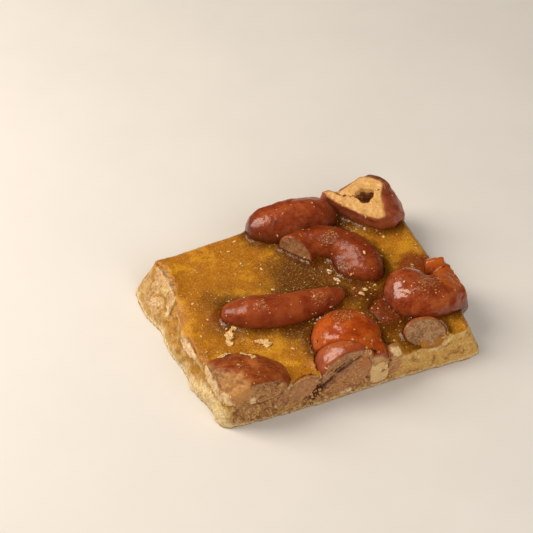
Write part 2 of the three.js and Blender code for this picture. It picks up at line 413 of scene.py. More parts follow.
def nutFinish(name, nut):
    skin = {**skinLook, **nut["skin"]}
    flesh = {**fleshLook, **nut["flesh"]}
    finish, tree, shader = newFinish(name, Subsurface_Weight=0.06, Subsurface_Radius=(1.0, 0.45, 0.15),
                                     Subsurface_Scale=0.001, Specular_IOR_Level=0.12,
                                     Coat_Weight=nut["coat"], Coat_Roughness=nut["gloss"])
    coords = objectCoords(tree)
    along = objectCoords(tree, nut)
    height = tree.nodes.new("ShaderNodeSeparateXYZ")
    feed(height.inputs[0], coords)
    depth, dark, amber, cream, sugar = (
        readAttribute(tree, part) for part in ("depth", "dark", "amber", "cream", "sugar"))

    # skin: veins along the nut, darker and lighter patches, and low down a caramel film that is also painted shade,
    # darker towards the foot
    veins = grain(along, 0.5, 4, 0.6, 0.4)
    patches = grain(coords, 3, 5, 0.6)
    pits = grain(coords, 0.28, 3, 0.7)
    grit = grain(coords, 0.34, 3, 0.7)
    wrinkles = times(contour(grain(along, 0.8, 4, 0.55, 0.3), 0.045),
                     between(grain(coords, 2.4), 0.4, 0.56, 0.1, nut["wrinkled"]))
    # caramel film and painted shade: the skin darkens from a little above the slab down to it
    filmAndShadeFoot = slab["high"] - skin["filmAndShadeUnder"]
    filmAndShade = between(plus(height.outputs["Z"], times(grain(coords, 1.6), -2.2 * mm)),
                   filmAndShadeFoot * mm, (filmAndShadeFoot + skin["filmAndShadeHeight"]) * mm, 0.85, 0)
    dust = between(plus(grit, times(sugar, 0.14)), nut["dusty"], nut["dusty"] + 0.12, 0, 0.75)
    skinColour = layered(
        skin["dark"],
        (between(veins, 0.24, 0.56), skin["mid"]),
        (between(patches, 0.44, 0.62, 0, 0.85), skin["light"]),
        (between(patches, 0.46, 0.3, 0, 0.7), skin["dark"]),
        (wrinkles, skin["filmAndShade"]),
        (between(pits, 0.48, 0.3, 0, 0.75), skin["filmAndShade"]),
        (filmAndShade, skin["filmAndShade"]),
        (times(sugar, 0.45), skin["filmAndShade"]),
        (times(amber, 0.85), skin["amber"]),
        (dust, skin["dust"]))

    # flesh: grains and fibres of several browns
    grains = plus(times(grain(coords, 0.5, 5, 0.65), 0.6), times(grain(along, 0.3, 4, 0.6), 0.4))
    smears = grain(coords, 2.1, 3, 0.6, 0.6)
    lines = times(contour(grain(coords, nut["lineSize"], 5, 0.6, 0.5), 0.05),
                  between(smears, 0.4, 0.55, 0.3, nut["lines"]))
    fleshColour = layered(
        flesh["tan"],
        (between(grains, 0.34, 0.62), flesh["pale"]),
        (between(smears, 0.5, 0.72, 0, nut["smear"]), flesh["brown"]),
        (lines, flesh["brown"]),
        (between(depth, 0.3, 0.6, 0.6, 0), flesh["edge"]),
        (times(amber, between(smears, 0.35, 0.6, 0.3, 0.85)), skin["amber"]),
        (times(cream, between(grains, 0.3, 0.6, 0.5, 1)), skin["cream"]))

    bare = between(plus(depth, times(grain(coords, 0.6), 0.3)), 0.3, 0.45)
    # painted shade in cracks and hollows, and dark bark, take the crack colour
    torn = plus(dark, times(grain(along, 0.3, 4, 0.75), -1))
    feed(shader.inputs["Base Color"],
         layered(skinColour, (bare, fleshColour), (between(torn, -0.2, 0.16), flesh["crack"])))
    gloss = between(grain(coords, 0.9), 0.3, 0.7, 0.3, 0.5)
    feed(shader.inputs["Roughness"], plus(gloss, times(bare, nut["fleshRoughness"])))

    relief = plus(times(veins, 0.6), grain(coords, 1), times(pits, 0.5), times(wrinkles, -0.6))
    crumbly = times(grains, bare)
    skinNormal = bump(times(relief, between(bare, 0, 1, 1, 0)), 0.25, 0.1)
    feed(shader.inputs["Normal"], bump(crumbly, nut["fleshRelief"], 0.3, skinNormal))
    # the glaze ripples, and is dull over broken flesh
    ripples = plus(grain(coords, 1.5, 2, 0.5), times(pits, 0.3), times(crumbly, 2), times(grit, times(sugar, 2.5)))
    feed(shader.inputs["Coat Normal"], bump(ripples, nut["ripple"], 0.5))
    return finish


# caramel: "near" is how far the nearest nut is, "side" is 1 on the cut sides, "stain" a redder place and "shadedPool"
# a browner one, partly painted shade; on the sides "tone" goes from brown to pale, "rim" is frosted and "dark" is
# painted shade in the crack

caramelLook = {
    # deep is painted shade at the foot of the nuts, and olive is the browner places, which are partly painted shade
    "ochre": (168, 104, 10), "gold": (196, 134, 20), "olive": (96, 52, 6), "deep": (76, 34, 4),
    "red": (126, 46, 12), "speck": (226, 176, 84), "dot": (84, 40, 8),
    # the plain colour, the meal in it and its brown lumps
    "cuts": [[(156, 106, 58), (218, 178, 116), (96, 56, 32)],
             [(194, 146, 72), (222, 188, 122), (146, 92, 34)],
             [(166, 114, 28), (192, 148, 56), (140, 92, 22)]],
    # torn is the colour of painted shade in the crack
    "rim": (230, 210, 158), "torn": (92, 46, 26),
}


def caramelFinish():
    look = caramelLook
    finish, tree, shader = newFinish("goldenCaramel", Subsurface_Weight=0.2, Subsurface_Radius=(1.0, 0.5, 0.1),
                                     Subsurface_Scale=0.0015, Specular_IOR_Level=0.3)
    coords = objectCoords(tree)
    near, side, stain, shadedPool, tone, rim, dark = (
        readAttribute(tree, name) for name in ("near", "side", "stain", "shadedPool", "tone", "rim", "dark"))
    fine = grain(coords, 0.3, 2, 0.7)
    coarse = grain(coords, 0.8, 3, 0.6)
    wetAndShaded = plus(near, times(grain(coords, 2, 2), -1.2))
    specks = times(between(crystals(coords, 0.9), 0.1, 0.2, 0.7, 0), between(grain(coords, 1.6), 0.5, 0.62))
    top = layered(
        look["ochre"],
        (between(grain(coords, 5, 3, 0.6), 0.46, 0.62), look["gold"]),
        # partly painted shade: browner caramel in the places between the nuts
        (between(plus(shadedPool, times(coarse, 0.3)), 0.15, 1.1), look["olive"]),
        # painted shade: the caramel darkens near the foot of each nut
        (between(wetAndShaded, -0.6, 2.5, 0.9, 0), look["deep"]),
        (between(plus(stain, times(coarse, -0.4)), 0, 0.7, 0, 0.9), look["red"]),
        (times(between(fine, 0.52, 0.74, 0, 0.5), between(wetAndShaded, 0, 1.5, 0.35, 1)), look["speck"]),
        (between(fine, 0.46, 0.26, 0, 0.75), look["dot"]),
        (specks, look["speck"]))

    # the cut sides: nut meal in caramel, browner in front and palest on the left
    meal = grain(coords, 0.5, 5, 0.75)
    lumps = grain(coords, 1.8, 4, 0.65)
    frontCut, plainCut, leftCut = (
        layered(plain, (between(meal, 0.46, 0.66, 0, 0.9), pale), (between(lumps, 0.52, 0.66, 0, 0.85), brown))
        for plain, pale, brown in look["cuts"])
    cut = layered(
        frontCut,
        (between(tone, 0, 0.5), plainCut),
        (between(tone, 0.5, 1), leftCut),
        (times(rim, between(meal, 0.35, 0.6, 0.3, 1)), look["rim"]),
        # painted shade in the crack
        (between(plus(dark, times(meal, -0.7)), -0.15, 0.2), look["torn"]))
    feed(shader.inputs["Base Color"], mixed(side, top, cut))
    gloss = between(grain(coords, 0.5, 4), 0.3, 0.7, 0.16, 0.5)
    feed(shader.inputs["Roughness"], plus(gloss, between(wetAndShaded, 0, 1.4, -0.18, 0.08), times(side, 0.15)))
    relief = times(plus(fine, times(coarse, 0.8)), between(wetAndShaded, 0, 1.4, 0.35, 1))
    feed(shader.inputs["Normal"], bump(plus(relief, times(meal, times(side, 1.5))), 0.55, 0.16))
    return finish


def plainFinish(name, pale, dark, roughness, size, relief=0.4, third=None, **fixed):
    # crumbs, flakes and the floor: two or three shades, with a little relief
    finish, tree, shader = newFinish(name, **fixed)
    coords = objectCoords(tree)
    patches = grain(coords, size, 4, 0.65)
    colour = mixed(between(patches, 0.35, 0.65), dark, pale)
    if third:
        colour = mixed(between(grain(coords, size * 2.5, 2), 0.52, 0.6), colour, third)
    feed(shader.inputs["Base Color"], colour)
    feed(shader.inputs["Roughness"], between(patches, 0.3, 0.7, roughness, roughness + 0.15))
    feed(shader.inputs["Normal"], bump(patches, relief, size / 5))
    return finish


# The nuts. A kernel has its size along, across and up; taper thins one end, blunt squares the ends and bend curls it.
# The hazelnut is drawn out instead, from the outline of its face to that of its foot, through levels that give a
# height, the share of the foot in the outline and its size.
# Lobes are joined to a nut before its cuts and lateLobes after them. Scoops are taken out of it, and so are the nuts
# in carvedBy. A cut is a point on it, the way it faces and, if it isn't endless, how far it reaches.
# Flush nuts end at the slab's cut sides, and peeled ones have no skin. A patch is its kind, its middle and its
# reach, and how much of the reach is full; the kinds are amber, cream and sugar, skin that covers flesh, and bark,
# which is dark.

plainNut = {
    "roll": 0, "pitch": 0, "turn": 0, "blunt": 2, "taper": 0, "bend": 0, "rings": 17,
    "lobes": [], "lateLobes": [], "scoops": [], "cuts": [], "carvedBy": [], "cracks": [], "patches": [],
    "flush": False, "peeled": False,
    # a coarse grid that melts the lobes together, and rounds of smoothing before and after the cuts
    "softGrid": 0, "rounding": 6, "soften": 2,
    # how uneven the skin is, and the flesh where it is broken and where the knife cut it
    "swell": 0.22, "break": 0.14, "sideBreak": 0.2,
    # skin: its colours, the glaze's strength, roughness and ripples, its wrinkles, and where dust starts
    "skin": {}, "coat": 0.55, "gloss": 0.16, "ripple": 0.14, "wrinkled": 0.45, "dusty": 0.66,
    # flesh: its colours, its brown smears and thin lines, and how dull and how crumbly it is
    "flesh": {}, "smear": 0.6, "lines": 0.5, "lineSize": 1.3, "fleshRoughness": 0.3, "fleshRelief": 0.8,
}
splitCracks = [
    {"line": [(-8.5, -21.3, 2.3), (-7.7, -21.3, 3.2), (-6.6, -21.3, 4.2), (-5.4, -21.3, 5.4), (-3.7, -21.3, 6.3),
              (-2.7, -21.3, 7.2), (-1.6, -21.2, 7.8), (-0.4, -21.2, 8.5)], "width": 0.85, "deep": 0.9},
    {"line": [(-0.4, -21.2, 8.5), (1.7, -21.2, 9.5)], "width": 0.35, "deep": 0.3},
]
nuts = {
    "hazelnut": {
        "face": [(12.8, 22), (14.6, 21.5), (15.7, 20), (17.7, 20.7), (20.1, 21.5), (21.7, 22), (23.7, 20.8),
                 (25.1, 19.1), (25.6, 17.7), (24.2, 16.1), (22.7, 13.4), (20.9, 10.6), (19.4, 10.8), (17.7, 12.8),
                 (16, 15.2), (14.7, 17.3), (13.9, 20)],
        "foot": [(13, 22.6), (14.8, 22.8), (16.6, 22.8), (18.6, 22.9), (21, 23), (23.4, 22.9), (25.8, 22),
                 (27.6, 20), (28.2, 17.4), (28.5, 14.6), (27.8, 11.6), (24.6, 9.9), (21.6, 10.2), (18.5, 13.2),
                 (16.8, 15.8), (15.2, 18.4), (13.2, 21.4)],
        "levels": [(13.8, 0, 0.97), (12.2, 0, 1), (10.4, 0.66, 1.02), (8.6, 0.95, 1.02), (6.6, 1, 0.97),
                   (4.8, 1, 0.84), (3.6, 1, 0.6)],
        "at": (20.2, 17.4, 8.6), "turn": -26, "rounding": 14,
        "lobes": [{"size": (6.4, 2.6, 4.4), "at": (24.9, 20.3, 10.7), "turn": -50}],
        "scoops": [{"size": (2.6, 3, 12), "at": (16.1, 21.9, 11)}],
        "cuts": [((20.5, 10.3, 10.5), (-0.183, -0.2035, 1))], "break": 0.16,
        "hollow": {"outline": [(18.2, 17.7), (18.9, 18.9), (20, 18.8), (20.7, 19.4), (21.8, 18.4), (22.9, 17.9),
                               (23.6, 17.4), (22.8, 16.5), (22.6, 15.6), (21.4, 15.5), (20.9, 14.7), (19.6, 15),
                               (18.9, 15.9), (18.8, 16.8)],
                   "floor": 9, "top": 15, "reach": 2.6, "dark": 0.6},
        "cracks": [{"line": [(15.4, 20.3, 11.6), (16.7, 19.1, 11.6), (17.8, 18, 11.6), (18.8, 17.7, 11.7)],
                    "width": 0.16, "deep": 0.2},
                   {"line": [(22, 17.3, 12.1), (22.8, 17.2, 12.3), (23.8, 16.8, 12.4)], "width": 0.16, "deep": 0.2}],
        "patches": [("bark", (25.2, 20.7, 12.2), 2.2)],
        "skin": {"dark": (110, 46, 26), "mid": (148, 70, 42), "light": (166, 90, 58), "filmAndShade": (146, 70, 42)},
        "flesh": {"pale": (226, 180, 112), "tan": (208, 156, 90), "brown": (186, 128, 66), "crack": (118, 60, 30),
                  "edge": (150, 84, 40)},
        "fleshRoughness": 0.2, "fleshRelief": 0.15,
    },
    "cashewBack": {
        "size": (19.4, 11, 10), "blunt": 2.3, "bend": 25, "at": (5, 19, 8.2), "turn": -8, "flush": True,
        # its dark, high film is mostly painted shade along the nut's lower side
        "skin": {"dark": (108, 42, 18), "mid": (142, 58, 26), "light": (168, 80, 38), "filmAndShade": (66, 28, 14),
                 "filmAndShadeHeight": 6.5},
        "wrinkled": 0.15, "coat": 0.7, "gloss": 0.1, "ripple": 0.25,
    },
    "cashewHook": {
        "size": (24.7, 8.4, 8.2), "blunt": 2.9, "bend": 135, "rings": 25, "at": (11.6, 8.9, 7.4), "turn": 129,
        "lobes": [{"size": (9, 5.2, 6), "at": (10.8, 2.4, 7), "turn": -62},
                  {"size": (9, 9, 6.4), "blunt": 3.4, "at": (3.7, 12, 7.1), "roll": 24, "pitch": 20.7, "turn": 36}],
        "softGrid": 0.5, "rounding": 12, "cuts": [((3.5, 10, 9), (-0.75, -0.55, 0.35), 14)],
        "cracks": [{"line": [(8.8, 4.5, 10), (8.7, 2.3, 9.5), (8.6, -0.2, 9), (9.0, -1.4, 8)], "width": 1,
                    "deep": 0.5, "dark": 0.1}],
        "patches": [("sugar", (9.2, 9.6, 11), 2.2), ("sugar", (8.4, 2.4, 9.4), 1.8)],
        "skin": {"dark": (98, 34, 12), "mid": (132, 52, 19), "light": (150, 70, 30)},
        "flesh": {"pale": (164, 114, 74), "tan": (132, 86, 52), "brown": (104, 64, 38)},
        "coat": 0.4, "gloss": 0.08, "ripple": 0.3,
    },
    "cashewLong": {
        "size": (25.8, 7.9, 7.4), "blunt": 2.5, "taper": -0.16, "bend": 43, "rings": 21, "at": (-6, -3, 7.5),
        "turn": -10, "patches": [("sugar", (-11, -2.4, 10.6), 1.8), ("sugar", (0.4, -4.2, 10.4), 2.2)],
        "skin": {"filmAndShade": (138, 60, 30)}, "coat": 0.45, "gloss": 0.18, "wrinkled": 0.8,
    },
    "creamLump": {
        "size": (4, 5, 5.5), "blunt": 6, "at": (5.5, -20.8, 3.5), "turn": 4, "flush": True, "peeled": True,
        "flesh": {"pale": (226, 192, 136), "tan": (208, 166, 108), "brown": (172, 120, 66)},
        "lines": 0.2, "smear": 0.15, "sideBreak": 0.12, "soften": 1,
    },
    "chip": {
        "size": (2.8, 4, 7.4), "blunt": 4, "at": (8.9, -20.5, 4.9), "pitch": 4, "flush": True, "peeled": True,
        "patches": [("cream", (9.2, -22, 7.6), 1.6)],
        "flesh": {"pale": (200, 150, 92), "tan": (164, 104, 58), "brown": (112, 54, 28)},
    },
    "splitLower": {
        "size": (12.2, 10, 9.2), "at": (-1.4, -19.6, 5.1), "turn": -8, "pitch": -24, "flush": True, "peeled": True,
        "cracks": splitCracks, "patches": [("cream", (-1.6, -21.6, 0.8), 1.5), ("amber", (2.6, -21.4, 7.6), 1.4)],
        "flesh": {"pale": (188, 132, 82), "tan": (156, 100, 56), "brown": (118, 66, 34), "crack": (88, 42, 24)},
    },
    "splitUpper": {
        "size": (12.4, 12, 9.4), "at": (-1.2, -19.6, 7), "turn": -4, "pitch": -25, "flush": True,
        "carvedBy": ["splitLower"], "cuts": [((-0.5, -17.3, 10), (0.59, 0.77, 0.25))], "cracks": splitCracks,
        "skin": {"dark": (136, 56, 22), "mid": (158, 72, 32), "light": (176, 92, 46), "filmAndShade": (122, 50, 24)},
        "flesh": {"pale": (184, 132, 84), "tan": (148, 98, 58), "crack": (88, 42, 24)},
        "coat": 0.8, "gloss": 0.2, "wrinkled": 0.4,
    },
    "roundNut": {
        "size": (14.4, 15, 12.4), "at": (1.7, -14.9, 6.8), "turn": -15.6, "flush": True,
        "lobes": [{"size": (8, 7, 9.6), "at": (4.8, -19.4, 5.4), "turn": -15.6}], "softGrid": 0.5,
        "carvedBy": ["splitLower", "splitUpper", "creamLump", "chip"],
        "scoops": [{"size": (9.4, 7.4, 7.6), "blunt": 4, "at": (-2.6, -20.6, 5.2), "turn": -4, "pitch": -20}],
        "cracks": [{"line": [(-5.9, -14.4, 9.4), (-4.2, -14.4, 9.6), (-2.5, -14.9, 9.8), (0, -16.5, 9.9),
                             (2, -18.4, 9.9), (3.6, -20.2, 9.6), (4.8, -21.4, 9.4)], "width": 0.34, "deep": 0.35},
                   {"line": [(7, -18.6, 9), (7.5, -20, 8.2), (7.4, -21.4, 7)], "width": 0.2, "deep": 0.3}],
        "patches": [("sugar", (1.5, -12.4, 12.6), 2.8)],
        "skin": {"dark": (142, 50, 10), "mid": (170, 68, 12), "light": (192, 92, 26), "filmAndShade": (122, 48, 14)},
        "flesh": {"pale": (206, 158, 98), "tan": (176, 124, 72), "crack": (70, 30, 14)},
        "coat": 0.8, "gloss": 0.12, "wrinkled": 0.5,
    },
    "cashewRight": {
        "size": (21, 10, 9.8), "blunt": 2.4, "taper": -0.24, "bend": 215, "rings": 29, "at": (23.7, -11.7, 7.6),
        "turn": 14, "softGrid": 0.45, "soften": 8,
        "cuts": [((25.9, -11, 11.4), (0.5, -0.05, 0.86), 7), ((28.2, -9, 8), (1, 0.03, 0.05))],
        "lobes": [{"size": (9.8, 11, 10), "at": (18.4, -7.9, 7.6), "turn": -23.5},
                  {"size": (12, 6, 7.6), "at": (24, -13.3, 6.2), "turn": 4}],
        "lateLobes": [{"size": (4, 3.7, 6.2), "blunt": 9, "at": (26.1, -4.9, 8.3), "turn": -23.5, "pitch": -8,
                       "roll": 6}],
        "cracks": [{"line": [(20.8, -5.2, 11), (22.9, -6.9, 11), (24.8, -7.3, 11), (27, -6.9, 11)], "width": 0.32,
                    "deep": 0.5}],
        "patches": [("amber", (26.2, -10.4, 11.4), 3.5, 0.88), ("skin", (25.8, -10.2, 11.4), 5),
                    ("amber", (26.2, -4.8, 10), 2.9), ("sugar", (20.9, -11.2, 11.4), 4.2, 0.4)],
        "skin": {"dark": (112, 40, 16), "mid": (150, 62, 26), "light": (174, 88, 44)},
        "flesh": {"crack": (112, 44, 16)}, "coat": 1, "gloss": 0.08,
    },
    "stub": {
        "size": (9, 6.8, 6.4), "at": (16.8, -18.7, 7), "turn": -13, "flush": True,
        "cuts": [((16.7, -19.2, 7.5), (-0.17, -0.66, 0.74))], "break": 0.2, "lines": 1, "lineSize": 0.6,
        "patches": [("amber", (15.4, -21.4, 4.6), 2.6), ("amber", (17.6, -22, 4.4), 2.2),
                    ("amber", (19.8, -21, 4.8), 2.4)],
        "skin": {"dark": (132, 64, 30), "mid": (164, 88, 44), "light": (184, 110, 58), "filmAndShade": (126, 70, 34),
                 "amber": (166, 108, 34)},
        "flesh": {"pale": (178, 136, 96), "tan": (146, 104, 68), "brown": (110, 74, 48)},
    },
    "cashewCorner": {
        "size": (18.6, 12.8, 7.8), "at": (-21.3, -16.7, 7.9), "turn": -20, "flush": True,
        "cuts": [((-26.3, -20.8, 6.7), (-0.76, -0.62, 1))], "break": 0.45, "sideBreak": 0.35, "soften": 10,
        "patches": [("cream", (-27.2, -12, 6.8), 2.8), ("cream", (-27.4, -15, 6), 2.8),
                    ("cream", (-27.6, -18, 5), 2.8), ("amber", (-23.5, -19, 9), 3.6),
                    ("cream", (-26.4, -19.6, 7.2), 2), ("cream", (-20.6, -21.6, 6.6), 1.1)],
        "skin": {"dark": (112, 46, 16), "mid": (148, 72, 28), "light": (172, 98, 46), "amber": (196, 140, 78)},
        "flesh": {"pale": (194, 142, 88), "tan": (146, 96, 56), "brown": (98, 60, 38)},
        "coat": 0.25, "gloss": 0.25, "wrinkled": 0.7, "smear": 0.9, "lines": 0.9,
    },
    "frontSunken": {
        "size": (9.8, 5, 5), "at": (-11.6, -21.6, 5.1), "pitch": -24, "flush": True, "peeled": True,
        "carvedBy": ["cashewCorner", "splitLower"], "sideBreak": 0.3, "lines": 0.8,
        "flesh": {"pale": (188, 134, 84), "tan": (160, 108, 64), "brown": (126, 76, 46)},
    },
    "leftSliver": {
        "size": (8, 4, 2.3), "taper": 0.3, "at": (-27, -3.4, 5.8), "turn": 84, "pitch": 8, "flush": True,
        "peeled": True, "break": 0.4, "flesh": {"pale": (236, 204, 158), "tan": (214, 170, 120)},
    },
    "leftBack": {
        "size": (12, 9, 7), "blunt": 3, "at": (-26, 14.4, 4.4), "turn": 84, "flush": True, "peeled": True,
        "break": 0.4, "patches": [("cream", (-28, 9.4, 4), 2.4)],
        "flesh": {"pale": (218, 180, 124), "tan": (178, 132, 80), "brown": (134, 92, 56)},
    },
    "sunken": {
        "size": (13, 8.6, 5.6), "at": (11.6, -10.9, 5.1), "turn": 96,
        "skin": {"dark": (80, 28, 10), "mid": (122, 48, 18), "light": (150, 70, 28), "filmAndShade": (104, 44, 14),
                 "dust": (196, 122, 56)},
        "coat": 0.35, "gloss": 0.14, "ripple": 0.5, "swell": 0.4, "dusty": 0.56,
    },
}
nutGrid = 0.22


def addKernel(name, given):
    # a small disc at one end, extruded ring by ring to the other, then curled and laid in its place
    nut = {**plainNut, **given}
    long, wide, high = nut["size"]
    power = 2 / nut["blunt"]
    tip = 0.12  # how far round from the very end the first ring is
    rings = []
    for step in np.linspace(tip, math.pi - tip, nut["rings"]):
        reach = -math.copysign(abs(math.cos(step)) ** power, math.cos(step))
        full = math.sin(step) ** power * (1 + nut["taper"] * reach)
        rings.append((reach * long / 2 * mm, full * wide / 2, full * high / 2))
    here, halfWide, halfHigh = rings[0]
    bpy.ops.mesh.primitive_circle_add(vertices=20, radius=mm, fill_type="NGON", location=(here, 0, 0),
                                      rotation=(0, math.pi / 2, 0))
    kernel = keepAs(name)
    bpy.ops.object.mode_set(mode="EDIT")
    bpy.ops.transform.resize(value=(1, halfWide, halfHigh), center_override=(here, 0, 0))
    for there, nextWide, nextHigh in rings[1:]:
        bpy.ops.mesh.extrude_region_move(TRANSFORM_OT_translate={"value": (there - here, 0, 0)})
        bpy.ops.transform.resize(value=(1, nextWide / halfWide, nextHigh / halfHigh),
                                 center_override=(there, 0, 0))
        here, halfWide, halfHigh = there, nextWide, nextHigh
    faceOutwards()
    applyModifier(kernel, "SUBSURF", levels=1, render_levels=1)
    if nut["bend"]:
        applyModifier(kernel, "SIMPLE_DEFORM", deform_method="BEND", deform_axis="Z",
                      angle=math.radians(nut["bend"]))
    kernel.rotation_euler = turnsOf(nut)
    kernel.location = Vector(nut["at"]) * mm
    pick(kernel)
    bpy.ops.object.transform_apply(location=True, rotation=True, scale=True)
    return kernel


def addOutlined(name, nut):
    # a ring for each level, between the outline of the face and that of the foot
    face, foot = np.array(nut["face"], dtype=float), np.array(nut["foot"], dtype=float)
    bpy.ops.mesh.primitive_circle_add(vertices=len(face), radius=mm, fill_type="NGON")
    kernel = keepAs(name)
    bpy.ops.object.mode_set(mode="EDIT")
    bpy.ops.mesh.select_all(action="SELECT")
    for _ in nut["levels"][1:]:
        bpy.ops.mesh.extrude_region_move(TRANSFORM_OT_translate={"value": (0, 0, -mm)})
    bpy.ops.object.mode_set(mode="OBJECT")
    rings = []
    for height, share, size in nut["levels"]:
        ring = face + share * (foot - face)
        ring = ring.mean(axis=0) + size * (ring - ring.mean(axis=0))
        rings.append(np.column_stack((ring, np.full(len(ring), height))))
    moveTo(kernel, np.concatenate(rings))
    faceOutwards()
    return kernel


def addPlug(outline, lowest, highest):
    # an upright plug of an uneven outline, a little narrower at its foot
    bpy.ops.mesh.primitive_circle_add(vertices=len(outline), radius=mm, fill_type="NGON")
    plug = keepAs("plug")
    moveTo(plug, np.array([(x, y, highest) for x, y in outline]))
    bpy.ops.object.mode_set(mode="EDIT")
    bpy.ops.mesh.select_all(action="SELECT")
    bpy.ops.mesh.extrude_region_move(TRANSFORM_OT_translate={"value": (0, 0, (lowest - highest) * mm)})
    middle = np.mean(outline, axis=0) * mm
    bpy.ops.transform.resize(value=(0.7, 0.7, 1), center_override=(*middle, lowest * mm))
    faceOutwards()
    remesh(plug, nutGrid)
    return plug


def patchOf(spots, nut, kind):
    # 1 in the middle of the nut's patches of one kind, fading out with an uneven edge
    share = np.zeros(len(spots))
    for named, middle, reach, *full in nut["patches"]:
        if named == kind:
            away = np.linalg.norm(spots - middle, axis=1) + 0.8 * bumps(spots, 1.6, 3, shift=3)
            share = np.maximum(share, 1 - ease(away, (full[0] if full else 0.7) * reach, reach))
    return share


def shapeNut(name, nut, knife):
    # the nut as it is now, and its surface when it was whole
    kernel = addOutlined(name + "Kernel", nut) if "face" in nut else addKernel(name + "Kernel", nut)
    lobes = [addKernel(name + "Lobe", lobe) for lobe in nut["lobes"]]
    if lobes:
        joinInto(kernel, lobes)
    if nut["softGrid"]:
        remesh(kernel, nut["softGrid"])
        soften(kernel, 8)
    remesh(kernel, nutGrid)
    soften(kernel, nut["rounding"])
    whole = surfaceOf(kernel)
    if nut["flush"]:
        carve(kernel, knife, "INTERSECT", keep=True)
    for other in nut["carvedBy"]:
        carve(kernel, kernels[other], keep=True)
    for scoop in nut["scoops"]:
        carve(kernel, addKernel("scoop", scoop))
    for cut in nut["cuts"]:
        cutOff(kernel, *cut)
    remesh(kernel, nutGrid)
    if "hollow" in nut:
        carve(kernel, addPlug(nut["hollow"]["outline"], nut["hollow"]["floor"], nut["hollow"]["top"]))
        remesh(kernel, nutGrid)
    soften(kernel, nut["soften"])
    for lobe in nut["lateLobes"]:
        carve(kernel, addKernel("lateLobe", lobe), "UNION")
        remesh(kernel, nutGrid)
        soften(kernel, 2)
    return kernel, whole


def makeNut(name, given, knife):
    nut = {**plainNut, **given}
    kernel, whole = shapeNut(name, nut, knife)
    spots, facing = spotsOf(kernel), facingOf(kernel)
    far, inside = measureTo(whole, spots)
    depth = far * inside
    if nut["peeled"]:
        depth = depth + 2  # well past the depth at which flesh shows
    opened = ease(depth, 0.12, 0.5)
    atSide = 1 - ease(insideSides(spots), 0.05, 0.4)

    # skin swells, open flesh is rougher, and cracks go into both
    lift = nut["swell"] * bumps(spots, 3.2, 2, shift=5) + 0.06 * bumps(spots, 1.1, 3)
    rough = nut["break"] * (1 - atSide) + nut["sideBreak"] * atSide
    lift = lift * (1 - opened) + opened * rough * (bumps(spots, 1.1, 4) + 0.25)
    dark = 0.6 * patchOf(spots, nut, "bark")
    # each crack is pressed in and darkened with painted shade
    for crack in nut["cracks"]:
        wavy = spots + 0.25 * bumps(spots, 0.8, 2, shift=9)[:, None]
        closeness = np.exp(-(nearLine(wavy, crack["line"]) / crack["width"]) ** 2)
        lift -= crack["deep"] * closeness
        dark = np.maximum(dark, closeness * crack.get("dark", 1))
    if "hollow" in nut:
        hollow = nut["hollow"]
        # the hollow darkens with painted shade the deeper it lies below the cut
        inHole = np.linalg.norm(spots[:, :2] - np.mean(hollow["outline"], axis=0), axis=1) < hollow["reach"]
        point, normal = nut["cuts"][0]
        below = (np.array(point) - spots) @ Vector(normal).normalized()
        dark = np.maximum(dark, hollow["dark"] * inHole * ease(below, 0.15, 1.2))
    moveTo(kernel, spots + facing * lift[:, None])

    for kind in ("amber", "cream", "sugar"):
        paint(kernel, kind, patchOf(spots, nut, kind))
    paint(kernel, "depth", depth * (1 - patchOf(spots, nut, "skin")))
    paint(kernel, "dark", dark)
    finishPiece(kernel, nutFinish(name + "Finish", nut), replaced=name)
    print("nut made:", name, len(kernel.data.polygons), "faces")
    return kernel


knife = addBlock("knife", -1, lambda x, y: 0 * x + 16, 23)
kernels = {}
for name, nut in nuts.items():
    kernels[name] = makeNut(name, nut, knife)
bpy.data.objects.remove(knife)


def wearEdges(caramel):
    # rounds the top edge, but not along the broken front nor at the back left corner, and hardly at the slump
    spots = spotsOf(caramel)
    x, y, z = spots.T
    behind = y - frontY(x, z)
    worn = (1 - np.clip(insideSides(spots) / slab["edgeReach"], 0, 1)) ** slab["edgePower"]
    worn *= slab["edgeRound"] * (1 - (1 - ease(behind, 1, 4)) * (1 - ease(x, 8, 12)))
    worn *= 1 - ease(y, 6, 10) * (1 - ease(x, -26, -20))
    worn *= 1 - 0.8 * (1 - ease(np.abs(x - slab["sharpAt"]), 3.5, 6)) * (1 - ease(behind, 3, 5))
    spots[:, 2] -= worn * spots[:, 2] / slab["high"]
    moveTo(caramel, spots)


def placesOf(spots, places, full, wave, size):
    # how strongly each spot lies in one of the places, which have uneven edges
    share = np.zeros(len(spots))
    for x, y, reach, strength in places:
        away = np.hypot(spots[:, 0] - x, spots[:, 1] - y) + wave * bumps(spots, size, 2)
        share = np.maximum(share, strength * (1 - ease(away, full * reach, reach)))
    return share


